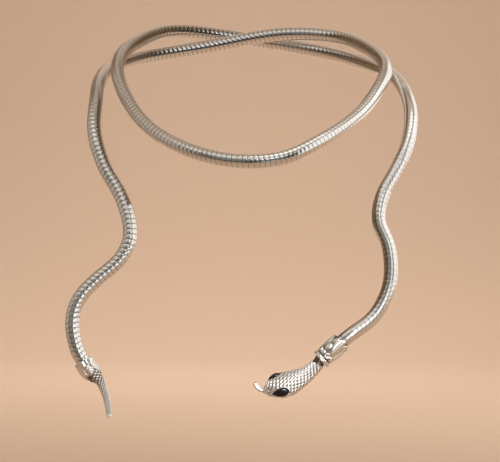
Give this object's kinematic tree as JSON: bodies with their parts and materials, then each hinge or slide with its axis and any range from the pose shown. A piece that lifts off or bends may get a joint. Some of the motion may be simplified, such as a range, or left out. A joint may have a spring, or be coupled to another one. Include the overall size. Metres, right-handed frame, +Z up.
{
  "type": "snake necklace",
  "caption": "Flexible wound metal tube worn twice round the neck, with a cast scaled snake head with dark stone eyes at one end and a scaled tail at the other.",
  "frame": {"origin": "middle of the neck hollow, where the necklace is worn", "axes": "+Z up, the front of the neck faces -Y, +X to the right of somebody facing the front"},
  "size_m": [0.1593, 0.1562, 0.1847],
  "materials": {
    "wound_tube": "polished silver-coloured metal strip, wound with fine grooves",
    "cast_metal": "polished silver-coloured casting, darkened in the hollows",
    "eye_stone": "polished opaque black cabochon"
  },
  "bodies": {
    "root": {"flex_body": "wound_tube", "head_collar": "cast_metal", "head": "cast_metal", "eye_left": "eye_stone", "eye_right": "eye_stone", "tail": "cast_metal"}
  },
  "joints": []
}
